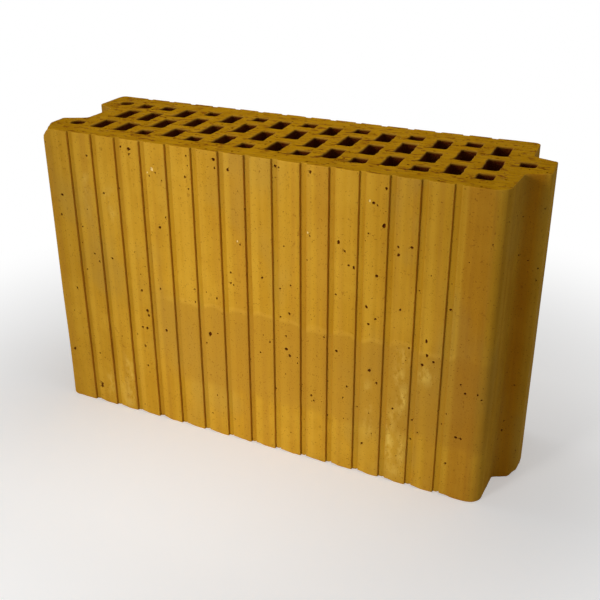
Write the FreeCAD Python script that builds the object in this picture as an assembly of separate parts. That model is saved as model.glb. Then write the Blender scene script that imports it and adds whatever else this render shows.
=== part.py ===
"""Hollow clay block with vertical cells, key grooves and tongue-and-groove ends.

One piece of fired clay: a constant section, extruded upwards, as the clay column leaves
its die and is cut to height. Millimetres.

Frame: +X runs along the block, towards the tongue. +Y runs from the front face to the
back face. +Z is up, along the cells. The origin is the centre of the block's box, on the
bed face that it stands on.
"""

import FreeCAD, Part
import math
import os

# Body
block_length = 369.0  # from end face to end face along the front, without the tongue
block_width = 115.0  # wall thickness that the block gives
block_height = 238.0
front_corner_radius = 10.0  # the two upright corners of the front face
back_corner_radius = 5.0

# Tongue, on the +X end
tongue_reach = 17.0  # how far it stands out of the end face
tongue_root_width = 43.0
tongue_tip_width = 28.0
tongue_offset = 2.0  # from the block's middle plane to the middle of the tongue's root
tongue_tip_radius = 3.0
tongue_root_radius = 2.0
end_turn = 5.2  # degrees that this end has turned back, from the tongue's front root onwards

# Groove, on the -X end, which takes the next block's tongue
groove_end_clearance = 0.5  # left in front of the tongue's tip
groove_mouth_clearance = 3.0  # on each side of the tongue's root
groove_floor_clearance = 1.5  # on each side of the tongue's tip
groove_lip_radius = 2.5
groove_floor_radius = 3.5

# Key grooves, which hold the plaster on the front and back faces
key_width = 5.0  # at the face
key_floor_width = 4.2
key_depth = 2.0
key_edge_radius = 0.5
plain_end_strip = 28.0  # smooth face between the groove's end of the block and the first key groove

# Cells
column_pitch = 22.0  # also the pitch of the key grooves
column_shift = 10.8  # from a key groove's middle to the middle of its column, carried to the front face
cell_length = 11.5  # along the block
small_cell_width = 12.0  # across the block
large_cell_width = 23.0
cell_corner_radius = 1.8
small_cell_cover = 17.5  # clay between a small cell and the face beside it
large_cell_cover = 20.0  # clay between a large cell and the face beside it
cell_web = 8.75  # clay between two cells of a column
reversed_columns = (3, 5, 7, 9, 11, 13, 15)  # small cell in front, counted from the groove

# Cells in the ends
ear_cell_diameter = 11.5  # one in each ear beside the groove
ear_cell_inset = 19.5  # from the groove's end face
ear_cell_offset = 33.5  # from the block's middle plane
tongue_cell_size = 11.0  # square, in the root of the tongue
tongue_cell_radius = 3.0
tongue_cell_inset = 1.0  # from the end face, inside the block

# The tongue's front tip corner is the block's furthest point, so its arc gives the overall length
turn_angle = math.radians(end_turn)
tongue_taper = (tongue_root_width - tongue_tip_width) / 2
flank_length = math.hypot(tongue_reach, tongue_taper)
arc_reach = tongue_reach - tongue_tip_radius
arc_place = (tongue_tip_radius * flank_length + tongue_taper * arc_reach) / tongue_reach
tongue_overhang = arc_reach * math.cos(turn_angle) - arc_place * math.sin(turn_angle) + tongue_tip_radius

# Places that follow from the sizes
left_end = -(block_length + tongue_overhang) / 2
right_end = left_end + block_length
front_face = -block_width / 2
back_face = block_width / 2
tongue_front = tongue_offset - tongue_root_width / 2
back_corner_x = right_end - (back_face - tongue_front) * math.tan(turn_angle)
middle_cell_width = (
    block_width - small_cell_cover - large_cell_cover - small_cell_width - large_cell_width - 2 * cell_web
)

ROUNDING_SLACK = 1e-6


def key_centres():
    """X of every key groove, evenly spaced from the groove's end, with such a strip left at the other."""
    room = block_length - 2 * plain_end_strip - key_width
    spaces = math.floor(room / column_pitch + ROUNDING_SLACK)
    first = left_end + plain_end_strip + key_width / 2
    return [first + i * column_pitch for i in range(spaces + 1)]


def point(x, y):
    return FreeCAD.Vector(x, y, 0)


def rounded_wire(corners):
    """Closed wire through corners (x, y, radius), rounded by tangent arcs. Radius 0 is sharp."""
    starts = []
    ends = []
    edges = []
    for i, (x, y, radius) in enumerate(corners):
        corner = point(x, y)
        before = point(*corners[i - 1][:2]) - corner
        after = point(*corners[(i + 1) % len(corners)][:2]) - corner
        half_angle = before.getAngle(after) / 2
        setback = min(radius / math.tan(half_angle), before.Length * 0.49, after.Length * 0.49)
        arc_radius = setback * math.tan(half_angle)
        before.normalize()
        after.normalize()
        starts.append(corner + before * setback)
        ends.append(corner + after * setback)
        if radius > 0:
            bisector = before + after
            bisector.normalize()
            arc_middle = corner + bisector * (arc_radius / math.sin(half_angle) - arc_radius)
            edges.append(Part.Arc(starts[-1], arc_middle, ends[-1]).toShape())
    for i in range(len(corners)):
        edges.append(Part.LineSegment(ends[i - 1], starts[i]).toShape())
    return Part.Wire(Part.__sortEdges__(edges))


def cross_slope(x):
    """Slope of the lines across the block at x: square at the groove, turned most at the tongue."""
    return math.tan(turn_angle * (x - left_end) / block_length)


def across(x, y):
    """Place at the depth y on the line across the block that meets the front face at x."""
    return x - (y - front_face) * cross_slope(x), y


def turned(reach, width):
    """Place on the turned end, so far out of it and so far back from the tongue's front root."""
    return (
        right_end + reach * math.cos(turn_angle) - width * math.sin(turn_angle),
        tongue_front + reach * math.sin(turn_angle) + width * math.cos(turn_angle),
    )


def column_cell(x, y, width):
    """Face of one cell about the depth y, in the column that would meet the front face at x."""
    slope = cross_slope(x)
    corners = []
    for side_y, ends in ((y - width / 2, (-1, 1)), (y + width / 2, (1, -1))):
        for end in ends:
            side_x = x + end * cell_length / 2 - (side_y - front_face) * slope
            corners.append((side_x, side_y, cell_corner_radius))
    return Part.Face(rounded_wire(corners))


def key_corners(x, face, inwards):
    """Corners of one key groove, along +X, sunk from the face in the direction inwards."""
    floor = face + inwards * key_depth
    return [
        (x - key_width / 2, face, key_edge_radius),
        (x - key_floor_width / 2, floor, 0),
        (x + key_floor_width / 2, floor, 0),
        (x + key_width / 2, face, key_edge_radius),
    ]


def front_corners():
    """The front face from left to right, with its key grooves."""
    corners = [(left_end, front_face, front_corner_radius)]
    for x in key_centres():
        corners += key_corners(x, front_face, 1)
    return corners + [(right_end, front_face, front_corner_radius)]


def back_corners():
    """The back face from right to left, with its key grooves."""
    corners = [(left_end, back_face, back_corner_radius)]
    for x in key_centres():
        corners += key_corners(across(x, back_face)[0], back_face, -1)
    corners.append((back_corner_x, back_face, back_corner_radius))
    return corners[::-1]


def tongue_corners():
    """The tongue from its front flank to its back flank, turned with its end of the block."""
    return [
        (*turned(0, 0), tongue_root_radius),
        (*turned(tongue_reach, tongue_taper), tongue_tip_radius),
        (*turned(tongue_reach, tongue_root_width - tongue_taper), tongue_tip_radius),
        (*turned(0, tongue_root_width), tongue_root_radius),
    ]


def groove_corners():
    """The end groove from its back lip to its front lip, cut to take the tongue."""
    floor = left_end + tongue_reach + groove_end_clearance
    half_mouth = tongue_root_width / 2 + groove_mouth_clearance
    half_floor = tongue_tip_width / 2 + groove_floor_clearance
    return [
        (left_end, half_mouth, groove_lip_radius),
        (floor, half_floor, groove_floor_radius),
        (floor, -half_floor, groove_floor_radius),
        (left_end, -half_mouth, groove_lip_radius),
    ]


def column_cells(x, reverse):
    """One column of three cells. Reversed, it has the small cell in front."""
    large = front_face + large_cell_cover + large_cell_width / 2
    small = back_face - small_cell_cover - small_cell_width / 2
    middle = front_face + large_cell_cover + large_cell_width + cell_web + middle_cell_width / 2
    side = -1 if reverse else 1
    return [
        column_cell(x, side * large, large_cell_width),
        column_cell(x, side * middle, middle_cell_width),
        column_cell(x, side * small, small_cell_width),
    ]


def ear_cell(y):
    """Round cell in an ear beside the end groove."""
    centre = point(left_end + ear_cell_inset, y)
    circle = Part.Circle(centre, FreeCAD.Vector(0, 0, 1), ear_cell_diameter / 2)
    return Part.Face(Part.Wire(circle.toShape()))


def tongue_cell():
    """Square cell in the root of the tongue, turned with it."""
    half = tongue_cell_size / 2
    corners = []
    for x, y in ((-half, -half), (half, -half), (half, half), (-half, half)):
        corners.append((*turned(x - tongue_cell_inset, y + tongue_root_width / 2), tongue_cell_radius))
    return Part.Face(rounded_wire(corners))


def cells():
    """Every cell of the section, as flat faces."""
    found = [ear_cell(-ear_cell_offset), ear_cell(ear_cell_offset), tongue_cell()]
    for number, key in enumerate(key_centres(), start=1):
        found += column_cells(key + column_shift, number in reversed_columns)
    return found


def clay_block():
    """The section with its cells, extruded to the block's height."""
    outline = front_corners() + tongue_corners() + back_corners() + groove_corners()
    section = Part.Face(rounded_wire(outline)).cut(cells())
    return section.Faces[0].extrude(FreeCAD.Vector(0, 0, block_height))


def main():
    os.makedirs("parts", exist_ok=True)
    clay_block().exportStep(os.path.join("parts", "clay_block.step"))


main()
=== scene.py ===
import math
import random

import bpy
import numpy as np
from mathutils import Matrix, Vector, noise
from mathutils.geometry import delaunay_2d_cdt
from mathutils.kdtree import KDTree


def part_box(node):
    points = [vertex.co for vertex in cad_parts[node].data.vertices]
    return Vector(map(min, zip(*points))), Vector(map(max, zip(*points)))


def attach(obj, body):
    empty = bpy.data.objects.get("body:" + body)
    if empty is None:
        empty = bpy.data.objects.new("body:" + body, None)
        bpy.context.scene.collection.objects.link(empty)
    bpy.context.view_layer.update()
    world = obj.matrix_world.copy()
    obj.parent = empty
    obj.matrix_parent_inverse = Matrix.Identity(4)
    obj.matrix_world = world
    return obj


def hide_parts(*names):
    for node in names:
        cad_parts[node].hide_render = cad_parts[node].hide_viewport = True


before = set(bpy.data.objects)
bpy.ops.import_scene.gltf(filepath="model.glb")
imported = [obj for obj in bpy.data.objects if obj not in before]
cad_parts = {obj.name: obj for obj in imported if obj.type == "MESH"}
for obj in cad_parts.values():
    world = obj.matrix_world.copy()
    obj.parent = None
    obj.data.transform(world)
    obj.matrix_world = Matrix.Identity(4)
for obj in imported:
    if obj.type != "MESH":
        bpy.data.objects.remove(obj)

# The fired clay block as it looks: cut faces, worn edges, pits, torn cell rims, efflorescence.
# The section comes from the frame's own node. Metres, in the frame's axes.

NODE = "clay_block"
SLOT = "fired_clay"
MM = 0.001
WELD = 1e-6  # corners of the frame's node nearer than this are one
PLANE_WELD = 1e-5  # the same for points of a plane mesh, in millimetres
SEED = 11

low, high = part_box(NODE)
BOTTOM, TOP = low.z, high.z
FRONT, BACK = low.y, high.y
TONGUE_TIP = high.x
LEFT_END = low.x
FRONT_LENGTH = 369 * MM
RIGHT_END = LEFT_END + FRONT_LENGTH
MARK_START = LEFT_END + 194.5 * MM  # every mark on the block is measured along it from here

# Mesh spacing
WALL_STEP = 2.7 * MM
ROW_STEP = 3.3 * MM
CELL_STEP = 3.4 * MM
CELL_ROW_STEP = 26 * MM
TOP_STEP = 1.75 * MM
BED_STEP = 5.5 * MM
SHORTEST_SIDE = 0.42 * MM
SHORTEST_CELL_SIDE = 0.8 * MM
NEAR_TOP = np.array([1.6, 4.0, 7.0]) * MM  # the rows of a wall below its upper rim
OUTER_EASE = 4 * MM  # normals are averaged over this length of a loop
CELL_EASE = 1.5 * MM
SHARP_ANGLE = math.radians(38)

# Cut faces: shares of the spacing
CAP_ROW = 0.87
CAP_JITTER = 0.16
CAP_CLEAR = 0.5  # between a loose point and a rim

# Worn edges
RIM_ANGLES = [math.radians(a) for a in (0, 30, 60, 90)]
RIM_ROOM = 2.3 * MM
BED_ROOM = 4.5 * MM
LIFT_FADE = 16 * MM  # a nick of the lower edge pulls the wall up as far as here

# Clay torn out of a cell's front left corner
TAIL_DEPTH = 1.6 * MM
TAIL_ROWS = 6
TAIL_LENGTHS = (0, 1.6, 2.6, 3.6, 4.6)

# A dent's rings from its rim inwards: shares of its size, of its depth and of its dark paint, which is
# painted shade in a pit and pale colour in a chip
PIT_RINGS = ((1.0, 0.0, 0.0), (0.85, 0.5, 0.95), (0.45, 0.95, 1.0))
PIT_SIDES = 11
SMALL_PIT = 1.7 * MM
SMALL_PIT_SIDES = 9
PIT_BUMPS = (0.78, 1.16)  # how far its outline wanders, as shares of its radius
PIT_UNEVEN = 0.2  # how far its corners lie off an even spacing, as a share of it
PIT_HALF = 0.6  # half its size with its bumps, as a share of the size
DENT_GAP = 0.3 * MM  # between two dents
PATCH_CLEAR = 0.4 * MM  # between a dent and the wall's own points
RIM_CLEAR = 0.45 * MM  # between a dent and the rim of a cut face
LOOSE_CLEAR = 0.2 * MM  # between a dent and the loose points of a cut face
# Places tried for a dent along its wall, in millimetres from the wanted one
PIT_SHIFTS = [0] + [side * step / 2 for step in range(1, 7) for side in (1, -1)]

# The larger pits of the front face: place along the block, height and diameter in millimetres.
# They were picked by eye in the photograph, and a measuring script turned most of the picked
# points into millimetres with the photograph's camera. The marks below came about in the same way.
FRONT_PITS = [
    (-187, 227, 1.3), (-186, 46, 2.2), (-180, 169, 1.8), (-177, 186, 2.2), (-173, 106, 1.6),
    (-149, 221, 1.7), (-157, 48, 1.4), (-151, 140, 1.4), (-147, 134, 1.4), (-136, 193, 1.5),
    (-134, 139, 1.8), (-118, 232, 1.6), (-109, 231, 2.7), (-110, 83, 2.0), (-108, 116, 1.8),
    (-105.5, 83, 2.0), (-104, 99, 2.6), (-102, 95, 2.1), (-109, 66, 1.8), (-108, 48, 1.4),
    (-87, 85, 2.1), (-86, 173, 2.2), (-80, 182, 1.2), (-90, 121, 1.4), (-61, 216, 1.4),
    (-58, 127, 1.4), (-57, 116, 1.3), (-46, 91, 2.6), (-39, 93, 1.4), (-52, 233, 2.1),
    (-36, 232, 2.5), (-35, 226, 1.4), (-25, 226, 2.1), (-2, 85, 1.4), (1, 148, 1.4),
    (-26, 147, 1.4), (12, 233, 1.9), (15.5, 233, 1.4), (16, 119, 1.5), (15, 142, 1.5),
    (23, 123, 1.5), (24, 146, 1.3), (20, 93, 2.6), (23, 88, 1.9), (30, 88, 1.3),
    (20, 104, 1.5), (38, 233, 1.8), (41, 58, 2.0), (43, 54, 1.6), (51, 110, 1.5),
    (59, 101, 2.0), (61, 186, 2.0), (66, 180, 1.4), (69, 170, 1.6), (73, 169, 1.7),
    (60, 146, 1.4), (82, 141, 1.9), (85, 128, 1.9), (93, 82, 1.5), (87, 91, 2.2),
    (90, 133, 1.9), (90, 166, 2.2), (95, 229, 1.9), (97, 203, 2.6), (86, 218, 2.0),
    (82, 196, 1.4), (104, 190, 1.5), (105, 184, 1.9), (108, 144, 1.4), (114, 191, 2.2),
    (106, 64, 1.6), (82, 27, 2.0), (116, 116, 1.5), (125, 105, 2.2), (128, 124, 1.9),
    (129, 113, 1.9), (134, 109, 2.0), (120, 57, 1.5), (148, 29, 1.5), (154, 53, 2.2),
    (158, 90, 1.5), (169, 91, 1.4), (171, 87, 1.4), (-162, 125, 1.2), (-59, 232, 1.2),
]
LONG_PITS = [(-160.0, 16, 2.3, 3.2), (-90, 122, 1.6, 1.8), (-109, 227, 1.4, 1.6)]
PALE_CHIPS = [(-90, 218, 5.8), (-94.5, 215, 2.6), (-19, 173, 3.0), (37, 189, 2.6), (85, 219, 3.4)]
CHIP_SHARE = 0.55  # of a chip's size that is broken out
CHIP_PIT_ASIDE = 2.3  # a small pit lies beside each chip, in millimetres
CHIP_PIT_BELOW = 2.2
CHIP_PIT_SIZE = 1.2
PIT_SPREAD = 1.1  # a pit's broken rim is that much wider than the hole in it

# Pale salts on the front face: place along the block, height, half width, half height, strength
SALTS = [
    (111.5, 108, 4, 5, 0.7), (109.6, 92, 3, 6, 0.9), (113.5, 73, 3.5, 9, 0.9), (107, 60, 3, 8, 0.5),
    (104.2, 36, 2.5, 20, 1.0), (113.8, 30, 2.5, 12, 0.8), (109, 11, 6, 5, 0.6),
    (129, 97, 4.5, 6, 0.8), (86, 78, 2, 4, 0.6), (87.6, 59, 2, 4, 0.5), (87, 43, 2.5, 6, 0.7),
    (130, 5, 3, 3, 0.5), (-148, 21, 3, 10, 0.6), (-127.5, 43, 3, 10, 0.6), (-126, 33, 2.5, 4, 0.8),
    (-131, 18, 7, 14, 0.45), (-125, 16, 2.5, 6, 0.6), (-132, 6, 6, 4, 0.6),
    (-152.8, 202, 3, 4, 0.5), (-152.7, 184, 4, 16, 0.3), (-132, 190, 4, 10, 0.4), (-130, 179, 3, 6, 0.5),
]
SALT_FALLOFF = 0.7

# Pits at random: how many are tried, their sizes in millimetres, and where they may lie
SMALL_PITS = 240
BACK_PITS = 150
TOP_PITS = 570
SMALL_SIZES = (0.8, 0.9, 1.0, 1.2, 1.5)
TOP_SIZES = (0.9, 1.1, 1.5, 2.3)
PITTED_LOW = 8 * MM
PITTED_HIGH = 230 * MM
PITTED_END = 20 * MM  # they go round the block's ends, past its middle plane by this
FACE_DEPTH = 4 * MM  # what lies no further in than this belongs to the front face


def smooth(t):
    """0 below 0, 1 above 1 and a soft S between."""
    t = np.clip(t, 0.0, 1.0)
    return t * t * (3 - 2 * t)


def wobble(points, wavelength, seed, stretch=(1, 1, 1)):
    """Smooth noise from about -1 to 1 at each point."""
    scale = 1 / (np.array(stretch) * wavelength)
    shift = Vector((13.1, 7.7, 3.3)) * seed
    return np.array([noise.noise(Vector(p * scale) + shift) for p in points]) * 1.6


def signed_area(loop):
    x, y = loop.T
    return 0.5 * float(np.sum(x * np.roll(y, -1) - np.roll(x, -1) * y))


def cap_loops(mesh, level):
    """The closed loops of corners round the flat face at that height: the outline, then the cells."""
    places = [tuple(round(c / WELD) for c in v.co) for v in mesh.vertices]
    height = round(level / WELD)
    sides = {}
    for face in mesh.polygons:
        ring = [places[i] for i in face.vertices]
        if all(abs(p[2] - height) <= 1 for p in ring):
            sides.update(dict.fromkeys(zip(ring, ring[1:] + ring[:1])))
    following = {a: b for a, b in sides if (b, a) not in sides}
    loops = []
    while following:
        start = next(iter(following))
        here = following.pop(start)
        loop = [start]
        while here != start:
            loop.append(here)
            here = following.pop(here)
        loops.append(np.array(loop, float)[:, :2] * WELD)
    return sorted(loops, key=lambda each: -abs(signed_area(each)))


def resample(loop, step, shortest):
    """The loop with its long sides divided and its shortest sides left out."""
    kept = [loop[0]]
    for corner in loop[1:]:
        if np.linalg.norm(corner - kept[-1]) >= shortest:
            kept.append(corner)
    points = []
    for a, b in zip(kept, kept[1:] + kept[:1]):
        parts = max(1, round(float(np.linalg.norm(b - a)) / step))
        points += [a + (b - a) * i / parts for i in range(parts)]
    return np.array(points)


def outward(loop):
    """Unit normals that point out of the clay, for an outline turning left or a cell turning right."""
    side = np.roll(loop, -1, 0) - loop
    side /= np.linalg.norm(side, axis=1, keepdims=True)
    mean = side + np.roll(side, 1, 0)
    normal = np.stack([mean[:, 1], -mean[:, 0]], 1)
    return normal / np.linalg.norm(normal, axis=1, keepdims=True)


class Surface:
    """Vertices, faces and painted values of the one closed mesh."""

    PAINTS = ("pit", "pale", "cut", "cell")

    def __init__(self):
        self.points = []
        self.paint = {name: [] for name in self.PAINTS}
        self.faces = []
        self.count = 0

    def add(self, points, **paint):
        first = self.count
        self.points.append(np.asarray(points, float))
        for name in self.PAINTS:
            value = paint.get(name, 0.0)
            self.paint[name].append(np.broadcast_to(np.asarray(value, float), (len(points),)))
        self.count += len(points)
        return first

    def build(self, name, shape):
        points = shape(np.concatenate(self.points))
        self.paint["salt"] = [salted(points)]
        used = np.unique(np.concatenate([np.array(f) for f in self.faces]))
        renumber = np.zeros(self.count, int)
        renumber[used] = np.arange(len(used))
        mesh = bpy.data.meshes.new(name)
        mesh.from_pydata(points[used].tolist(), [], [[int(renumber[i]) for i in f] for f in self.faces])
        for paint, values in self.paint.items():
            layer = mesh.attributes.new(paint, "FLOAT", "POINT")
            layer.data.foreach_set("value", np.concatenate(values)[used].astype(np.float32))
        mesh.update()
        mesh.shade_smooth()
        mesh.set_sharp_from_angle(angle=SHARP_ANGLE)
        thing = bpy.data.objects.new(name, mesh)
        bpy.context.scene.collection.objects.link(thing)
        return thing


def pit_rings(size, stretch, tilt, seed):
    """Points of a small dent about (0, 0): place, share of its depth, and how dark it is."""
    dice = random.Random(seed)
    turn = dice.uniform(0, math.tau)
    count = SMALL_PIT_SIDES if size < SMALL_PIT else PIT_SIDES
    bumps = [dice.uniform(*PIT_BUMPS) for _ in range(count)]
    points = [(0.0, 0.0, 1.0, 1.0)]
    for share, depth, dark in PIT_RINGS:
        for i in range(count):
            angle = turn + math.tau * (i + dice.uniform(-PIT_UNEVEN, PIT_UNEVEN)) / count
            reach = share * bumps[i] * size / 2
            a = reach * math.cos(angle)
            b = reach * math.sin(angle) * stretch
            points.append((
                a * math.cos(tilt) - b * math.sin(tilt),
                a * math.sin(tilt) + b * math.cos(tilt),
                depth,
                dark,
            ))
    return np.array(points)


class Dent:
    """A pit or a pale chip on a wall or a cut face."""

    def __init__(self, a, b, size, seed, stretch=1.0, tilt=0.0, pale=0.0, depth=0.55):
        self.a, self.b, self.size = a, b, size
        self.stretch, self.tilt = stretch, tilt
        self.pale = pale
        self.depth = depth * size
        self.rings = pit_rings(size, stretch, tilt, seed)
        self.room = size * PIT_HALF * max(1.0, stretch)
        self.half_wide, self.half_tall = np.abs(self.rings[:, :2]).max(0)

    def covers(self, points, margin):
        """Which points lie within that margin of the dent."""
        da, db = (points - (self.a, self.b)).T
        along = da * math.cos(self.tilt) + db * math.sin(self.tilt)
        across = db * math.cos(self.tilt) - da * math.sin(self.tilt)
        half = self.size * PIT_HALF
        return (along / (half + margin)) ** 2 + (across / (half * self.stretch + margin)) ** 2 < 1


def apart(dent, others):
    """Whether the dent is clear of all the others."""
    return all(
        math.hypot(dent.a - other.a, dent.b - other.b) > dent.room + other.room + DENT_GAP
        for other in others
    )


def triangulate(points, sides, keep):
    """Triangles over points in a plane that follow the sides, for the ones whose middle is kept."""
    flat = [Vector((p[0] / MM, p[1] / MM)) for p in points]
    made, _, faces, origin, _, _ = delaunay_2d_cdt(flat, sides, [], 0, PLANE_WELD)
    assert len(made) == len(points), "two sides of the plane mesh cross"
    back = [o[0] for o in origin]
    triangles = np.array([[back[i] for i in f] for f in faces])
    middles = np.asarray(points)[triangles].mean(1)
    return triangles[keep(middles)]


def front_left(loop):
    """The number of the loop's point nearest the front and the groove's end."""
    return int(np.argmin(loop @ (1.0, 1.0)))


class Wall:
    """An upright face round a loop: rows of points with rounded rims, dents and waviness."""

    def __init__(self, loop, row_step, ease, rim, foot, waves):
        self.loop = loop
        self.facing = outward(loop)
        self.along = np.concatenate([[0], np.cumsum(np.linalg.norm(np.diff(loop, axis=0), axis=1))])
        self.length = self.along[-1] + np.linalg.norm(loop[0] - loop[-1])
        self.normal = self.eased(ease)
        self.rim, self.foot, self.waves = rim, foot, waves
        first, last = BOTTOM + BED_ROOM, TOP - RIM_ROOM
        near_top = last - NEAR_TOP[::-1]
        rows = max(2, round((near_top[0] - first) / row_step))
        body = np.linspace(first, near_top[0], rows + 1)
        self.levels = np.concatenate([body, near_top[1:], [last]])
        self.rows = len(self.levels) + 2 * len(RIM_ANGLES)
        self.nominal = np.concatenate([
            BOTTOM + np.arange(len(RIM_ANGLES)) * MM,
            self.levels,
            TOP - np.arange(len(RIM_ANGLES))[::-1] * 0.5 * MM,
        ])
        self.dents = []
        self.tail = 0.0

    def locate(self, x, y):
        """Distance along the loop of the point of it nearest (x, y)."""
        i = int(np.argmin(np.linalg.norm(self.loop - (x, y), axis=1)))
        best = None
        for k in (i - 1, i):
            a, b = self.loop[k], self.loop[(k + 1) % len(self.loop)]
            t = float(np.clip(np.dot((x, y) - a, b - a) / np.dot(b - a, b - a), 0, 1))
            gap = float(np.linalg.norm(a + (b - a) * t - (x, y)))
            if best is None or gap < best[0]:
                best = (gap, self.along[k] + t * float(np.linalg.norm(b - a)))
        return best[1]

    def eased(self, reach):
        """Normals averaged along the loop, so that points moved along them never cross."""
        gap = np.abs(self.along[:, None] - self.along[None, :])
        gap = np.minimum(gap, self.length - gap)
        sides = np.diff(np.append(self.along, self.length))
        share = np.exp(-((gap / reach) ** 2)) * (sides + np.roll(sides, 1))
        mean = share @ self.facing
        return mean / np.linalg.norm(mean, axis=1, keepdims=True)

    def is_flat(self, s, reach):
        """Whether the wall is straight for that reach on both sides."""
        near = np.abs(self.along - s) < reach
        near[np.searchsorted(self.along, s) - 1] = True
        facing = self.facing[near]
        ends = reach + 2 * WALL_STEP
        return bool(np.all(facing @ facing[0] > 0.999)) and ends < s < self.length - ends

    def base(self, s):
        """Place and normal at each distance along the loop."""
        closed = np.vstack([self.loop, self.loop[:1]])
        turned = np.vstack([self.normal, self.normal[:1]])
        along = np.append(self.along, self.length)
        place = np.stack([np.interp(s, along, closed[:, k]) for k in (0, 1)], 1)
        normal = np.stack([np.interp(s, along, turned[:, k]) for k in (0, 1)], 1)
        return place, normal / np.linalg.norm(normal, axis=1, keepdims=True)

    def add_to(self, surface, in_cell=False):
        """Adds the wall, and returns the numbers of its lowest and highest row of points."""
        count = len(self.loop)
        s = np.tile(self.along, self.rows)
        z = np.repeat(self.nominal, count)
        row = np.repeat(np.arange(self.rows), count)
        place = np.tile(self.loop, (self.rows, 1))
        normal = np.tile(self.normal, (self.rows, 1))
        quads, patches = self.split()
        extra = self.patch_points(patches)
        if len(extra):
            more_place, more_normal = self.base(extra[:, 0])
            s = np.append(s, extra[:, 0])
            z = np.append(z, extra[:, 1])
            row = np.append(row, np.full(len(extra), len(RIM_ANGLES) + 1))
            place = np.vstack([place, more_place])
            normal = np.vstack([normal, more_normal])
        depth = np.append(np.zeros(self.rows * count), extra[:, 2] if len(extra) else [])
        dark = np.append(np.zeros(self.rows * count), extra[:, 3] if len(extra) else [])
        pale = np.append(np.zeros(self.rows * count), extra[:, 4] if len(extra) else [])
        # Painted shade in the clay torn out of the cell's front left corner.
        if self.tail:
            dark = self.tail_share(len(row)) * (row > self.rows - TAIL_ROWS)
        points = self.shape(place, normal, z, row, depth)
        on_cap = (row == 0) | (row == self.rows - 1)
        first = surface.add(points, pit=dark, pale=pale, cut=on_cap, cell=in_cell & ~on_cap)
        surface.faces += (quads + first).tolist()
        surface.faces += [(t + first).tolist() for t in self.patch_faces(patches, count)]
        columns = np.arange(count)
        return first + columns, first + (self.rows - 1) * count + columns

    def shape(self, place, normal, z, row, depth):
        """Points in space, with the wall's two rims rounded."""
        spot = np.column_stack([place, np.zeros(len(place))])
        rim = self.rim(spot)
        foot, lift = self.foot(spot)
        inset = depth + self.waves(np.column_stack([place, z]))
        height = z + lift * np.clip(1 - z / LIFT_FADE, 0, 1)
        last = self.rows - 1
        for k, angle in enumerate(RIM_ANGLES):
            at_top = row == last - (len(RIM_ANGLES) - 1 - k)
            height[at_top] = (TOP - rim * (1 - math.sin(angle)))[at_top]
            inset[at_top] += (rim * (1 - math.cos(angle)))[at_top]
            at_foot = row == len(RIM_ANGLES) - 1 - k
            height[at_foot] = (BOTTOM + lift + foot * (1 - math.sin(angle)))[at_foot]
            inset[at_foot] += (foot * (1 - math.cos(angle)))[at_foot]
        flat = place - normal * inset[:, None]
        if self.tail:
            dragged = self.tail_share(len(flat)) * np.exp(-(TOP - height) / TAIL_DEPTH)
            flat[:, 0] -= self.tail * dragged
        return np.column_stack([flat, height])

    def tail_share(self, points):
        """How far each point of the rows goes with the clay dragged out of the corner, from 0 to 1."""
        count = len(self.loop)
        gap = np.abs((np.arange(points) - front_left(self.loop) + count // 2) % count - count // 2)
        return np.select([gap == 0, gap == 1], [1.0, 0.3], 0.0)

    def split(self):
        """The wall's whole quads, and the groups of quads that dents take the place of."""
        count = len(self.loop)
        taken = np.zeros((self.rows - 1, count), bool)
        for dent in self.dents:
            wide, tall = dent.half_wide + DENT_GAP, dent.half_tall + DENT_GAP
            near_s = (self.along + np.append(np.diff(self.along), 0) > dent.a - wide) & (
                self.along < dent.a + wide
            )
            near_z = (self.nominal[1:] > dent.b - tall) & (self.nominal[:-1] < dent.b + tall)
            taken |= near_z[:, None] & near_s[None, :]
        rows, columns = np.nonzero(~taken)
        right = (columns + 1) % count
        quads = np.column_stack([
            rows * count + columns,
            rows * count + right,
            (rows + 1) * count + right,
            (rows + 1) * count + columns,
        ])
        groups = []
        left = set(zip(*(a.tolist() for a in np.nonzero(taken))))
        while left:
            seed = min(left)
            left.discard(seed)
            group, edge = {seed}, [seed]
            while edge:
                j, i = edge.pop()
                for near in ((j - 1, i), (j + 1, i), (j, i - 1), (j, i + 1)):
                    if near in left:
                        left.discard(near)
                        group.add(near)
                        edge.append(near)
            groups.append((group, [d for d in self.dents if self.quad_at(d.a, d.b) in group]))
        return quads, groups

    def quad_at(self, s, z):
        """Row and column of the quad at that distance along the loop and that height."""
        return int(np.searchsorted(self.nominal, z)) - 1, int(np.searchsorted(self.along, s)) - 1

    def patch_points(self, patches):
        """The points of every dent: along, height, depth, dark, pale."""
        rows = []
        for _, dents in patches:
            for dent in dents:
                for a, b, deep, dark in dent.rings:
                    rows.append((
                        dent.a + a,
                        dent.b + b,
                        deep * dent.depth,
                        dark * (1 - dent.pale),
                        dark * dent.pale,
                    ))
        return np.array(rows)

    def patch_faces(self, patches, count):
        """Triangles that fill each group of taken quads round its dents."""
        triangles = []
        number = self.rows * count
        for group, dents in patches:
            sides = {}
            for j, i in group:
                ring = [(j, i), (j, i + 1), (j + 1, i + 1), (j + 1, i)]
                sides.update(dict.fromkeys(zip(ring, ring[1:] + ring[:1])))
            border = [(a, b) for a, b in sides if (b, a) not in sides]
            on_border = {a for a, _ in border}
            grid = sorted({a for a, _ in sides})
            spots = np.array([(self.along[i], self.nominal[j]) for j, i in grid])
            hit = np.any([d.covers(spots, PATCH_CLEAR) for d in dents], axis=0)
            kept = [g for g, is_hit in zip(grid, hit) if g in on_border or not is_hit]
            order = {g: k for k, g in enumerate(kept)}
            flat = [(self.along[i], self.nominal[j]) for j, i in kept]
            ids = [j * count + i for j, i in kept]
            for dent in dents:
                flat += [(dent.a + a, dent.b + b) for a, b, _, _ in dent.rings]
                ids += range(number, number + len(dent.rings))
                number += len(dent.rings)

            def is_taken(middles):
                return np.array([self.quad_at(s, z) in group for s, z in middles])

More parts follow.
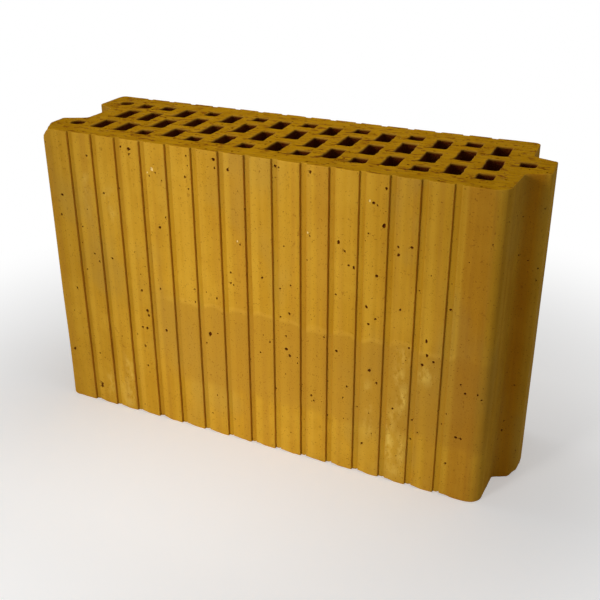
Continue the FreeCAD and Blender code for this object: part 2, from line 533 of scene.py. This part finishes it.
            made = triangulate(flat, [(order[a], order[b]) for a, b in border], is_taken)
            triangles += list(np.array(ids)[made])
        return triangles


def inside_rings(points, rings):
    """Whether each point is in the clay: inside an odd number of the closed rings."""
    odd = np.zeros(len(points), bool)
    x, y = np.asarray(points).T
    for ring in rings:
        reach_low, reach_high = ring.min(0), ring.max(0)
        near = np.nonzero((x <= reach_high[0]) & (y >= reach_low[1]) & (y <= reach_high[1]))[0]
        if not len(near):
            continue
        ax, ay = ring.T
        bx, by = np.roll(ring, -1, 0).T
        px, py = x[near, None], y[near, None]
        spans = (ay > py) != (by > py)
        with np.errstate(divide="ignore", invalid="ignore"):
            cross = ax + (py - ay) * (bx - ax) / (by - ay)
        odd[near] ^= (np.sum(spans & (px < cross), axis=1) % 2).astype(bool)
    return odd


def add_cap(surface, rows, step, dents, height, upward, **paint):
    """Closes the clay between the rows of rim points with a cut face."""
    everything = np.concatenate(surface.points)
    rings = [everything[r][:, :2] for r in rows]
    tree_points = []
    for ring in rings:
        onward = np.roll(ring, -1, 0)
        for t in (0, 0.25, 0.5, 0.75):
            tree_points.append(ring + (onward - ring) * t)
    tree_points = np.concatenate(tree_points)
    tree = KDTree(len(tree_points))
    for i, p in enumerate(tree_points):
        tree.insert((*p, 0), i)
    tree.balance()
    dice = np.random.default_rng(SEED)
    grid_x = np.arange(LEFT_END, TONGUE_TIP, step)
    grid_y = np.arange(FRONT, BACK, step * CAP_ROW)
    gx, gy = np.meshgrid(grid_x, grid_y)
    gx = gx + (np.arange(len(grid_y)) % 2)[:, None] * step / 2
    jitter = dice.uniform(-CAP_JITTER, CAP_JITTER, (gx.size, 2)) * step
    loose = np.column_stack([gx.ravel(), gy.ravel()]) + jitter
    loose = loose[inside_rings(loose, rings)]
    clear = [tree.find((*p, 0))[2] > CAP_CLEAR * step for p in loose]
    loose = loose[np.array(clear)]
    kept_dents = []
    for dent in dents:
        edge = dent.rings[:, :2] + (dent.a, dent.b)
        clear = all(tree.find((*p, 0))[2] > RIM_CLEAR for p in edge)
        if clear and apart(dent, kept_dents) and inside_rings(edge, rings).all():
            kept_dents.append(dent)
    for dent in kept_dents:
        loose = loose[~dent.covers(loose, LOOSE_CLEAR)]
    depth, dark = np.zeros(len(loose)), np.zeros(len(loose))
    for dent in kept_dents:
        loose = np.vstack([loose, dent.rings[:, :2] + (dent.a, dent.b)])
        depth = np.append(depth, dent.rings[:, 2] * dent.depth)
        dark = np.append(dark, dent.rings[:, 3])
    z = height(loose, depth)
    first = surface.add(np.column_stack([loose, z]), pit=dark, **paint)
    ids = np.concatenate([*rows, np.arange(first, first + len(loose))])
    flat = np.vstack([*rings, loose])
    sides, start = [], 0
    for ring in rings:
        count = len(ring)
        sides += [(start + i, start + (i + 1) % count) for i in range(count)]
        start += count
    made = ids[triangulate(flat, sides, lambda middles: inside_rings(middles, rings))]
    if not upward:
        made = made[:, ::-1]
    surface.faces += made.tolist()


# How the surfaces depart from the flat section. Each is a mean and the reach of some noises,
# in millimetres, with the noise's wavelength and its own seed.

def outer_rim(spot):
    return (0.55 + 0.3 * wobble(spot, 14 * MM, 1) + 0.22 * wobble(spot, 4 * MM, 2)).clip(0.15, 1.3) * MM


def outer_foot(spot):
    """Radius of the lower edge, and how far it is lifted off the bed by nicks."""
    broad = wobble(spot, 21 * MM, 3)
    fine = wobble(spot, 5 * MM, 4)
    radius = (0.55 + 0.2 * broad + 0.25 * fine).clip(0.25, 1.2) * MM
    lift = 0.15 * np.maximum(0, broad) + 0.35 * np.maximum(0, fine) + key_lift(spot)
    return radius, lift.clip(0, 1.8) * MM


KEY_PITCH = 22 * MM
FIRST_KEY = LEFT_END + 30.5 * MM
# How far each key groove of the front lies off its even pitch, from the groove's end, in millimetres.
# Worked out from where a measuring script found the grooves' dark lines in the photograph.
KEY_DRIFT = (-0.1, 0.0, -0.4, 0.1, 0.5, 0.5, 1.1, -0.1, -0.3, -0.1, -0.6, -0.6, -1.2, -1.8, -1.9)
LAST_KEY = FIRST_KEY + (len(KEY_DRIFT) - 1) * KEY_PITCH
KEY_TEAR = 1.3  # how far the lower edge is torn up beside a key groove, in millimetres
KEY_TEAR_START = 3 * MM
KEY_TEAR_FADE = 8 * MM


def key_lift(spot):
    """The lower edge is torn up a little just right of every key groove."""
    x, y = spot[:, 0], spot[:, 1]
    past = (x - FIRST_KEY) % KEY_PITCH
    lift = KEY_TEAR * (1 - smooth((past - KEY_TEAR_START) / KEY_TEAR_FADE))
    on_face = (y < FRONT + FACE_DEPTH) & (x > FIRST_KEY - KEY_TEAR_START) & (x < LAST_KEY + KEY_PITCH / 2)
    return np.where(on_face, lift, 0)


def outer_waves(points):
    """Waviness of the extruded faces, inwards: broad, then drawn out upwards."""
    broad = 0.22 * (1 + wobble(points, 70 * MM, 5))
    drawn = 0.07 * (1 + wobble(points, 6 * MM, 6, (1, 1, 14)))
    return (broad + drawn) * MM


def cell_rim(spot):
    return (0.5 + 0.35 * wobble(spot, 5 * MM, 7)).clip(0.15, 1.1) * MM


def cell_foot(spot):
    radius = (0.6 + 0.3 * wobble(spot, 6 * MM, 8)).clip(0.2, 1.1) * MM
    return radius, (0.3 + 0.3 * wobble(spot, 9 * MM, 9)).clip(0, 0.9) * MM


def cell_waves(points):
    """Waviness inside a cell, and the clay that the cutting wire tore at its upper edge."""
    drawn = 0.14 * wobble(points, 4 * MM, 10, (1, 1, 20))
    below = TOP - points[:, 2]
    torn = np.exp(-below / (2.2 * MM)) * 1.2 * np.maximum(0, wobble(points, 3.6 * MM, 12) - 0.05)
    return (drawn + torn) * MM


def top_height(places, depth):
    spot = np.column_stack([places, np.zeros(len(places))])
    dragged = 0.14 * (1 + wobble(spot, 2.2 * MM, 13, (5, 1, 1)))
    rough = 0.09 * (1 + wobble(spot, 3.5 * MM, 14))
    return TOP - (dragged + rough + 0.02) * MM - depth


def bed_height(places, depth):
    spot = np.column_stack([places, np.zeros(len(places))])
    return BOTTOM + (0.12 * (1 + wobble(spot, 12 * MM, 15))).clip(0, 1) * MM + depth


# Uneven grooves and broken corners of this block

DRIFT_DEPTH = 14 * MM  # no further in than this, a groove's drift moves the clay round it
DRIFT_FADE = 8 * MM
EAR_CELL_DRIFT = 2.6 * MM
EAR_LENGTH = 26 * MM
# Place on the plane of the break, its direction, and the seed of its roughness
BROKEN_CORNERS = (
    ((MARK_START - 183.5 * MM, FRONT, TOP), (-0.75, -0.45, 0.62), 31),
    ((MARK_START + 184.5 * MM, -14 * MM, BOTTOM), (0.82, -0.15, -0.57), 32),
)
BREAK_ROUGHNESS = 0.5 * MM
BREAK_GRAIN = 4 * MM
BREAK_MARGIN = 0.3 * MM


def front_drift(x):
    """Shift of the front face along the block at x."""
    keys = FIRST_KEY + KEY_PITCH * np.arange(len(KEY_DRIFT))
    return np.interp(x, [LEFT_END, *keys, RIGHT_END], [0, *(d * MM for d in KEY_DRIFT), 0])


def uneven(points):
    """The points with the front's grooves at their own uneven places."""
    x, y, z = points.T
    at_front = smooth((FRONT + DRIFT_DEPTH - y) / DRIFT_FADE)
    return np.column_stack([x + front_drift(x) * at_front, y, z])


def chipped(points, place, direction, seed):
    """Breaks off what lies past a plane through that place."""
    normal = np.array(direction) / np.linalg.norm(direction)
    past = (points - place) @ normal
    broken = np.nonzero(past > -BREAK_MARGIN)[0]
    if len(broken):
        grain = BREAK_ROUGHNESS * wobble(points[broken], BREAK_GRAIN, seed)
        points[broken] -= normal * np.maximum(0, past[broken] + grain)[:, None]
    return points


def settled(points):
    """Every bend and break, and nothing outside the block's own box."""
    points = uneven(points)
    for corner in BROKEN_CORNERS:
        points = chipped(points, *corner)
    return np.clip(points, np.array(low), np.array(high))


def salted(points):
    """How much pale salt lies at each point of the front face."""
    x, y, z = points.T
    amount = np.zeros(len(points))
    for along, height, half_width, half_height, strength in SALTS:
        aside = ((x - MARK_START) / MM - along) ** 2 / half_width**2
        above = (z / MM - height) ** 2 / half_height**2
        amount = np.maximum(amount, strength * np.exp(-SALT_FALLOFF * (aside + above)))
    return np.where(y < FRONT + FACE_DEPTH, amount, 0)


def front_dents(wall):
    """The pits and chips that stand at the photograph's places."""
    dice = random.Random(SEED)

    def place(mark):
        x = MARK_START + mark * MM
        return wall.locate(x - front_drift(x), FRONT)

    for n, (x, z, size) in enumerate(FRONT_PITS):
        yield Dent(place(x), z * MM, size * PIT_SPREAD * MM, seed=n,
                   stretch=dice.uniform(0.85, 1.5), tilt=dice.uniform(-0.5, 0.5))
    for n, (x, z, size, stretch) in enumerate(LONG_PITS):
        yield Dent(place(x), z * MM, size * MM, seed=200 + n, stretch=stretch, tilt=-0.12)
    for n, (x, z, size) in enumerate(PALE_CHIPS):
        yield Dent(place(x), z * MM, size * CHIP_SHARE * MM, seed=300 + n, stretch=1.2, pale=0.8, depth=0.3)
        yield Dent(place(x + CHIP_PIT_ASIDE), (z - CHIP_PIT_BELOW) * MM, CHIP_PIT_SIZE * MM,
                   seed=340 + n, stretch=1.5, tilt=0.5)


def scattered_dents(wall, count, y_sign, seed):
    """Small pits at random on the front (y_sign -1) or the back (1), and on the ends."""
    dice = random.Random(seed)
    for n in range(count):
        s = dice.uniform(0, wall.length)
        z = dice.uniform(PITTED_LOW, PITTED_HIGH)
        size = dice.choice(SMALL_SIZES) * MM
        place = wall.base(np.array([s]))[0][0]
        if place[1] * y_sign > -PITTED_END:
            yield Dent(s, z, size, seed + n, stretch=dice.uniform(0.8, 1.6), tilt=dice.uniform(-0.6, 0.6))


def free_dents(wall, dents):
    """The dents that lie on flat wall and clear of one another, moved along it where that helps."""
    kept = []
    for dent in dents:
        wanted = dent.a
        for shift in PIT_SHIFTS:
            dent.a = wanted + shift * MM
            if apart(dent, kept) and wall.is_flat(dent.a, dent.half_wide + PATCH_CLEAR):
                kept.append(dent)
                break
    return kept


def tail_lengths(count):
    """How far the cutting wire dragged the clay out of each cell's front left corner."""
    dice = random.Random(SEED + 7)
    return [dice.choice(TAIL_LENGTHS) * MM for _ in range(count)]


def tears(cells, tails):
    """Where the cutting wire tore clay out beside a cell's front left corner."""
    dice = random.Random(SEED + 9)
    for n, (cell, tail) in enumerate(zip(cells, tails)):
        x, y = cell[front_left(cell)]
        for k in range(dice.choice((0, 1, 1, 2, 2))):
            length = dice.uniform(2.8, 5.0) * MM
            share = dice.uniform(0.3, 0.48)
            yield Dent(x - tail - length * PIT_HALF - 1.3 * MM, y + (0.4 + k * dice.uniform(2.5, 6)) * MM,
                       length, seed=1500 + 10 * n + k, stretch=share,
                       tilt=dice.uniform(-0.12, 0.22), depth=0.5 * share)


def top_dents(cells, tails):
    """Torn-out slivers beside the cells, and small pits at random."""
    yield from tears(cells, tails)
    dice = random.Random(SEED + 5)
    for n in range(TOP_PITS):
        yield Dent(dice.uniform(LEFT_END, TONGUE_TIP), dice.uniform(FRONT, BACK),
                   dice.choice(TOP_SIZES) * MM, seed=900 + n,
                   stretch=dice.uniform(0.5, 1.0), tilt=dice.uniform(-0.3, 0.3), depth=0.4)


def drifted(cell):
    """The cells in the ears lie a little towards the back."""
    in_ear = cell[:, 0].mean() < LEFT_END + EAR_LENGTH
    return cell + (0, EAR_CELL_DRIFT) if in_ear else cell


def turned_to_start(loop, x, y):
    """The same loop, starting at its point nearest (x, y)."""
    first = int(np.argmin(np.linalg.norm(loop - (x, y), axis=1)))
    return np.roll(loop, -first, 0)


def clay_body():
    """The whole block as one closed mesh: the outline's wall, the cells' walls and the two cut faces."""
    loops = cap_loops(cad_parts[NODE].data, TOP)
    surface = Surface()
    groove_floor = (LEFT_END + 20 * MM, 0)
    outline = resample(turned_to_start(loops[0], *groove_floor), WALL_STEP, SHORTEST_SIDE)
    wall = Wall(outline, ROW_STEP, OUTER_EASE, outer_rim, outer_foot, outer_waves)
    wall.dents = free_dents(wall, [
        *front_dents(wall),
        *scattered_dents(wall, SMALL_PITS, y_sign=-1, seed=400),
        *scattered_dents(wall, BACK_PITS, y_sign=1, seed=700),
    ])
    foot, rim = wall.add_to(surface)
    feet, rims = [foot], [rim]
    cells = [drifted(resample(loop, CELL_STEP, SHORTEST_CELL_SIDE)) for loop in loops[1:]]
    tails = tail_lengths(len(cells))
    for cell, tail in zip(cells, tails):
        inner = Wall(cell, CELL_ROW_STEP, CELL_EASE, cell_rim, cell_foot, cell_waves)
        inner.tail = tail
        foot, rim = inner.add_to(surface, in_cell=True)
        feet.append(foot)
        rims.append(rim)
    add_cap(surface, rims, TOP_STEP, top_dents(cells, tails), top_height, upward=True, cut=1.0)
    add_cap(surface, feet, BED_STEP, [], bed_height, upward=False, cut=1.0)
    return surface.build("clay_body", settled)


class Nodes:
    """Short ways to add and join shader nodes."""

    def __init__(self, tree):
        self.tree = tree
        tree.nodes.clear()

    def add(self, kind, inputs=None, **settings):
        node = self.tree.nodes.new(kind)
        for name, value in settings.items():
            setattr(node, name, value)
        for name, value in (inputs or {}).items():
            self.set(node.inputs[name], value)
        return node

    def set(self, socket, value):
        if isinstance(value, bpy.types.NodeSocket):
            self.tree.links.new(value, socket)
        else:
            socket.default_value = value

    def math(self, operation, a, b=0.0, clamp=False):
        return self.add("ShaderNodeMath", {0: a, 1: b}, operation=operation, use_clamp=clamp).outputs[0]

    def times(self, *factors):
        product = factors[0]
        for factor in factors[1:]:
            product = self.math("MULTIPLY", product, factor)
        return product

    def window(self, value, start, full, full_end, end):
        """1 from full to full_end, easing to 0 at start and at end."""
        return self.times(self.ramp(value, start, full), self.ramp(value, end, full_end))

    def ramp(self, value, low_value, high_value, low_out=0.0, high_out=1.0):
        return self.add("ShaderNodeMapRange", {
            "Value": value, "From Min": low_value, "From Max": high_value,
            "To Min": low_out, "To Max": high_out,
        }, interpolation_type="SMOOTHSTEP").outputs[0]

    def noise(self, vector, scale, detail=3.0, roughness=0.55, stretch=(1, 1, 1), shift=(0, 0, 0)):
        mapped = self.add("ShaderNodeMapping", {
            "Vector": vector, "Scale": stretch, "Location": shift,
        }).outputs[0]
        return self.add("ShaderNodeTexNoise", {
            "Vector": mapped, "Scale": scale, "Detail": detail, "Roughness": roughness,
        }).outputs["Fac"]

    def mix(self, share, a, b, blend="MIX"):
        node = self.add("ShaderNodeMix", {0: share, 6: a, 7: b}, data_type="RGBA", blend_type=blend)
        return node.outputs[2]

    def attribute(self, name):
        return self.add("ShaderNodeAttribute", attribute_name=name).outputs["Fac"]


def shade(*rgb):
    """Linear colour of a written sRGB one, from 0 to 255."""
    return (*[((c / 255 + 0.055) / 1.055) ** 2.4 if c > 10 else c / 255 / 12.92 for c in rgb], 1.0)


# Colours of the extruded faces
DRAWN = shade(186, 136, 33)
DRAWN_PALE = shade(197, 148, 42)
DRAWN_MOTTLE = shade(180, 128, 30)
DRAWN_STREAK = shade(205, 153, 40)
BAND_DARK = shade(172, 117, 38)
BAND_PALE = shade(206, 158, 50)
STAIN = shade(146, 92, 24)
GREYED = shade(174, 136, 56)

# Colours of the marks, painted light and shade among them. Tints multiply the tone under them.
# painted highlight: a lighter stripe just past each key groove
GROOVE_SIDE_HIGHLIGHT = shade(212, 164, 50)
# painted light: the grooves' walls, which lie in shade, are painted lighter and redder
GROOVE_WALL_PAINTED_LIGHT = shade(210, 138, 50)
# painted shade on the grooves' floors
GROOVE_FLOOR_SHADE_TINT = (0.79, 0.78, 0.48, 1)
TIDE_BAND = shade(176, 127, 38)
TIDE_EDGE = shade(214, 166, 62)
# painted shade: a darker, browner strip where the front turns into the right corner
CORNER_SHADE_TINT = (0.88, 0.79, 0.78, 1)
# painted shade: the right end, which faces away from the lamp, is tinted darker and deeper
END_SHADE_TINT = (0.94, 0.78, 0.4, 1)
SALT = shade(222, 184, 84)

# Colours of the cut faces, of specks and grains, of the painted shade in the cells and the dents, and of
# chips
CUT = shade(166, 117, 1)
CUT_PALE = shade(184, 133, 3)
CUT_MOTTLE = shade(156, 102, 1)
RUST = shade(108, 46, 4)
# painted shade inside the cells
CELL_PAINTED_SHADE = shade(72, 13, 2)
SPECK = shade(112, 58, 12)
GRAIN = shade(214, 166, 44)
# painted shade in the pits, the tears and the torn corners of the cells
PIT_PAINTED_SHADE = shade(86, 28, 5)
FRESH_CHIP = shade(240, 214, 140)

# Where the marks of the front face lie along the block, from MARK_START, in metres
GROOVE_START = -0.164
GROOVED = (-0.170, -0.168, 0.148, 0.150)
# the painted highlight just past each key groove, measured from the groove
HIGHLIGHT_BEYOND_GROOVE = (0.0025, 0.0045, 0.0065, 0.0095)
# the painted shade before the right corner
CORNER_SHADE_STRIP = (0.147, 0.152, 0.163, 0.170)
# the painted shade of the right end, easing off before the tongue's tip
SHADED_END = (0.172, 0.180, 0.183, 0.189)
TIDE_START = (-0.10, -0.07)

# The tide mark's heights
TIDE_LOW = (0.040, 0.048)
TIDE_HIGH = (0.117, 0.113)
TIDE_LINE = (0.113, 0.1155, 0.117, 0.1195)
TIDE_ARCH = 0.012  # it hangs lower beside the grooves
TIDE_RAGGED = 0.012

# Depths across the block
FACE_FADE = (FRONT + 1.3 * MM, FRONT + 0.9 * MM)
WALL_DEPTHS = (FRONT + 0.8 * MM, FRONT + 1.0 * MM, FRONT + 1.4 * MM, FRONT + 1.7 * MM)
FLOOR_DEPTHS = (FRONT + 1.2 * MM, FRONT + 1.7 * MM, FRONT + 2.8 * MM, FRONT + 3.4 * MM)
TIDE_DEPTHS = (-0.04, -0.055)
WALL_HEIGHTS = (2 * MM, 4 * MM, TOP - 4 * MM, TOP - 2 * MM)
# painted shade: a cell's walls darken from here to here below its rims
CELL_SHADE_DEPTHS = (0.0001, 0.0018)  # a cell darkens from here to here below its rims


def drawn_tone(n, where, mottle, streak):
    """Colour of the extruded faces: patches, stains, and bands and streaks drawn out by the die."""
    broad = n.noise(where, 14, 3)
    tone = n.mix(n.ramp(broad, 0.35, 0.65), DRAWN, DRAWN_PALE)
    tone = n.mix(n.ramp(mottle, 0.4, 0.68, 0, 0.4), tone, DRAWN_MOTTLE)
    tone = n.mix(n.ramp(streak, 0.42, 0.66, 0, 0.3), tone, DRAWN_STREAK)
    bands = n.noise(where, 120, 2, stretch=(1, 1, 0.02), shift=(2, 7, 1))
    tone = n.mix(n.ramp(bands, 0.5, 0.36, 0, 0.32), tone, BAND_DARK)
    tone = n.mix(n.ramp(bands, 0.52, 0.66, 0, 0.35), tone, BAND_PALE)
    stain = n.noise(where, 290, 2, shift=(6, 2, 8))
    tone = n.mix(n.ramp(stain, 0.66, 0.74, 0, 0.5), tone, STAIN)
    grey = n.noise(where, 24, 2, stretch=(1, 1, 0.6), shift=(4, 4, 0))
    return n.mix(n.ramp(grey, 0.5, 0.7, 0, 0.4), tone, GREYED)


def marked_tone(n, tone, where, x, y, z):
    """The tone with the front face's marks: key grooves with painted shade and painted light, a tide mark,
    painted shade before and on the right end, and pale salts.
    """
    on_face = n.ramp(y, *FACE_FADE)
    grooved = n.window(x, *GROOVED)
    past = n.math("MODULO", n.math("SUBTRACT", x, GROOVE_START - KEY_PITCH), KEY_PITCH)
    # Painted highlight: a lighter stripe just past each key groove.
    groove_highlight = n.times(n.window(past, *HIGHLIGHT_BEYOND_GROOVE), on_face, grooved, 0.25)
    tone = n.mix(groove_highlight, tone, GROOVE_SIDE_HIGHLIGHT)
    # Painted light on the grooves' shaded walls.
    wall, inside = n.window(y, *WALL_DEPTHS), n.window(z, *WALL_HEIGHTS)
    tone = n.mix(n.times(wall, grooved, inside, 0.8), tone, GROOVE_WALL_PAINTED_LIGHT)
    # Painted shade on the grooves' floors.
    floor = n.times(n.window(y, *FLOOR_DEPTHS), grooved, 0.7)
    tone = n.mix(floor, tone, GROOVE_FLOOR_SHADE_TINT, "MULTIPLY")

    ragged = n.times(n.math("SUBTRACT", n.noise(where, 45, 2), 0.5), TIDE_RAGGED)
    level = n.math("ADD", z, ragged)
    middle = n.math("SUBTRACT", n.math("DIVIDE", past, KEY_PITCH), 0.5)
    arched = n.math("ADD", level, n.times(middle, middle, TIDE_ARCH))
    reach = n.times(n.ramp(x, *TIDE_START), n.ramp(y, *TIDE_DEPTHS))
    band = n.times(n.ramp(arched, *TIDE_HIGH), n.ramp(level, *TIDE_LOW), reach, 0.55)
    tone = n.mix(band, tone, TIDE_BAND)
    line = n.times(n.window(arched, *TIDE_LINE), reach, on_face, grooved, 0.2)
    tone = n.mix(line, tone, TIDE_EDGE)

    # Painted shade where the front turns into the right corner.
    tone = n.mix(n.window(x, *CORNER_SHADE_STRIP), tone, CORNER_SHADE_TINT, "MULTIPLY")
    # Painted shade on the right end and the tongue's front flank.
    tone = n.mix(n.window(x, *SHADED_END), tone, END_SHADE_TINT, "MULTIPLY")
    crust = n.noise(where, 230, 4, roughness=0.65, stretch=(1, 1, 0.45), shift=(9, 2, 4))
    salt = n.times(n.attribute("salt"), n.ramp(crust, 0.38, 0.62), on_face, 0.85)
    return n.mix(salt, tone, SALT)


def bed_tone(n, where, mottle, drag):
    """Colour of the cut faces, with reddish grains torn open."""
    tone = n.mix(n.ramp(drag, 0.35, 0.65), CUT, CUT_PALE)
    tone = n.mix(n.ramp(mottle, 0.45, 0.7, 0, 0.5), tone, CUT_MOTTLE)
    rust = n.noise(where, 330, 3, stretch=(0.45, 1, 1), shift=(1, 8, 2))
    return n.mix(n.ramp(rust, 0.56, 0.66, 0, 0.75), tone, RUST)


def clay_relief(n, mottle, streak, drag, grain, cut):
    """Normal with fine grain, drawn streaks and shallow unevenness."""
    fine = n.add("ShaderNodeBump", {
        "Height": grain, "Strength": 0.35, "Distance": 0.25 * MM,
    }).outputs[0]
    drawn = n.add("ShaderNodeBump", {
        "Height": n.mix(cut, streak, drag), "Strength": 0.4, "Distance": 0.4 * MM, "Normal": fine,
    }).outputs[0]
    return n.add("ShaderNodeBump", {
        "Height": mottle, "Strength": 0.35, "Distance": 1 * MM, "Normal": drawn,
    }).outputs[0]


def clay_material():
    material = bpy.data.materials.new(SLOT)
    material.use_nodes = True
    n = Nodes(material.node_tree)
    where = n.add("ShaderNodeTexCoord").outputs["Object"]
    split = n.add("ShaderNodeSeparateXYZ", {0: where}).outputs
    x, y, z = n.math("SUBTRACT", split[0], MARK_START), split[1], split[2]
    cut, cell, pit, pale = (n.attribute(a) for a in ("cut", "cell", "pit", "pale"))
    mottle = n.noise(where, 70, 4, shift=(3, 1, 5))
    streak = n.noise(where, 260, 3, stretch=(1, 1, 0.035))
    drag = n.noise(where, 420, 3, stretch=(0.12, 1, 1))
    grain = n.noise(where, 1500, 2)

    tone = marked_tone(n, drawn_tone(n, where, mottle, streak), where, x, y, z)
    tone = n.mix(cut, tone, bed_tone(n, where, mottle, drag))
    # Painted shade down the cells' walls, darkening below their rims.
    edge = n.math("MINIMUM", n.math("SUBTRACT", TOP, z), n.math("SUBTRACT", z, BOTTOM))
    tone = n.mix(n.times(cell, n.ramp(edge, *CELL_SHADE_DEPTHS, 0.4, 0.98)), tone, CELL_PAINTED_SHADE)
    speck = n.ramp(n.noise(where, 900, 1, shift=(5, 5, 5)), 0.66, 0.74, 0, 0.6)
    tone = n.mix(speck, tone, SPECK)
    tone = n.mix(n.times(n.math("SUBTRACT", grain, 0.5), 0.5), tone, GRAIN)
    # Painted shade in the pits, the tears and the torn corners of the cells.
    tone = n.mix(n.times(pit, 0.93), tone, PIT_PAINTED_SHADE)
    tone = n.mix(n.ramp(pale, 0.3, 0.95), tone, FRESH_CHIP)

    shader = n.add("ShaderNodeBsdfPrincipled", {
        "Base Color": tone,
        "Roughness": n.ramp(mottle, 0.3, 0.7, 0.74, 0.9),
        "Specular IOR Level": 0.02,
        "Normal": clay_relief(n, mottle, streak, drag, grain, cut),
    })
    n.add("ShaderNodeOutputMaterial", {"Surface": shader.outputs[0]})
    return material


def seen_directly(n):
    """1 for rays that show the background: from the camera, in gloss and through glass."""
    path = n.add("ShaderNodeLightPath").outputs
    direct = n.math("MAXIMUM", path["Is Camera Ray"], path["Is Glossy Ray"])
    return n.math("MAXIMUM", direct, path["Is Transmission Ray"])


WHITE = (1, 1, 1, 1)
FLOOR_HALF = 6.0
FLOOR_GREY = (0.82, 0.82, 0.82, 1)
FLOOR_GLOW = 0.35  # as the camera sees it, which leaves the shadow soft
SHADOW_REACH = (0.2, 0.5)  # the floor turns white from here to here


def pale_floor():
    mesh = bpy.data.meshes.new("floor")
    r = FLOOR_HALF
    corners = [(-r, -r, BOTTOM), (r, -r, BOTTOM), (r, r, BOTTOM), (-r, r, BOTTOM)]
    mesh.from_pydata(corners, [], [(0, 1, 2, 3)])
    floor = bpy.data.objects.new("floor", mesh)
    bpy.context.scene.collection.objects.link(floor)
    material = bpy.data.materials.new("pale_floor")
    material.use_nodes = True
    n = Nodes(material.node_tree)
    where = n.add("ShaderNodeTexCoord").outputs["Object"]
    distance = n.add("ShaderNodeVectorMath", {0: where}, operation="LENGTH").outputs["Value"]
    matte = n.add("ShaderNodeBsdfDiffuse", {"Color": FLOOR_GREY}).outputs[0]
    glow = n.add("ShaderNodeEmission", {"Color": WHITE, "Strength": FLOOR_GLOW}).outputs[0]
    lifted = n.add("ShaderNodeAddShader", {0: matte, 1: glow}).outputs[0]
    white = n.add("ShaderNodeEmission", {"Color": WHITE, "Strength": 1.0}).outputs[0]
    far = n.ramp(distance, *SHADOW_REACH)
    seen = n.add("ShaderNodeMixShader", {0: far, 1: lifted, 2: white}).outputs[0]
    whole = n.add("ShaderNodeMixShader", {0: seen_directly(n), 1: matte, 2: seen}).outputs[0]
    n.add("ShaderNodeOutputMaterial", {"Surface": whole})
    mesh.materials.append(material)


AMBIENT = 0.3  # strength of the white world, as it lights the block


def studio_world():
    world = bpy.data.worlds.new("studio")
    world.use_nodes = True
    n = Nodes(world.node_tree)
    strength = n.math("MULTIPLY_ADD", seen_directly(n), 1 - AMBIENT)
    strength.node.inputs[2].default_value = AMBIENT
    backdrop = n.add("ShaderNodeBackground", {"Color": WHITE, "Strength": strength}).outputs[0]
    n.add("ShaderNodeOutputWorld", {"Surface": backdrop})
    bpy.context.scene.world = world


def soft_light(name, place, target, size, watts, spread):
    """A rectangular lamp that faces the target. Its spread is in degrees."""
    data = bpy.data.lights.new(name, "AREA")
    data.shape = "RECTANGLE"
    data.size, data.size_y = size
    data.energy = watts
    data.spread = math.radians(spread)
    lamp = bpy.data.objects.new(name, data)
    lamp.location = place
    lamp.rotation_euler = (Vector(target) - Vector(place)).to_track_quat("-Z", "Y").to_euler()
    bpy.context.scene.collection.objects.link(lamp)


def studio_lights():
    """Two lamps, first fitted to the photograph's shading and then set one by one."""
    soft_light("key", place=(-0.323, -0.9, 0.26), target=(-0.01, -0.0575, 0.09),
               size=(0.3, 0.6), watts=0.535, spread=32.9)
    soft_light("overhead", place=(-0.05, 0.035, 0.653), target=(-0.05, 0.035, 0),
               size=(0.28, 0.28), watts=0.8, spread=180)


# The photograph's camera, fitted by a measuring script to the block's own edges and grooves
CAMERA_PLACE = (MARK_START + 0.2978061, -0.6071747, 0.4253568)
CAMERA_TURN = (1.9986, 0.4729, -0.3103)  # rotation vector from the frame to the camera, y down
FOCAL_PIXELS = 933.367
CENTRE_PIXELS = (275.0, 325.0)
IMAGE_PIXELS = 600
SENSOR = 36.0
NEAREST_SEEN = 0.01


def photo_camera():
    turn = Vector(CAMERA_TURN)
    to_camera = Matrix.Rotation(turn.length, 3, turn)
    data = bpy.data.cameras.new("camera")
    data.sensor_width = SENSOR
    data.lens = FOCAL_PIXELS / IMAGE_PIXELS * SENSOR
    data.shift_x = (IMAGE_PIXELS / 2 - CENTRE_PIXELS[0]) / IMAGE_PIXELS
    data.shift_y = (CENTRE_PIXELS[1] - IMAGE_PIXELS / 2) / IMAGE_PIXELS
    data.clip_start = NEAREST_SEEN
    camera = bpy.data.objects.new("camera", data)
    axes = Matrix((to_camera[0], -to_camera[1], -to_camera[2])).transposed()
    camera.matrix_world = Matrix.Translation(CAMERA_PLACE) @ axes.to_4x4()
    bpy.context.scene.collection.objects.link(camera)
    bpy.context.scene.camera = camera


bpy.context.scene.view_settings.view_transform = "Standard"
body = clay_body()
body.data.materials.append(clay_material())
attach(body, "root")
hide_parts(NODE)
pale_floor()
studio_world()
studio_lights()
photo_camera()

print("triangles", sum(len(p.vertices) - 2 for p in body.data.polygons))
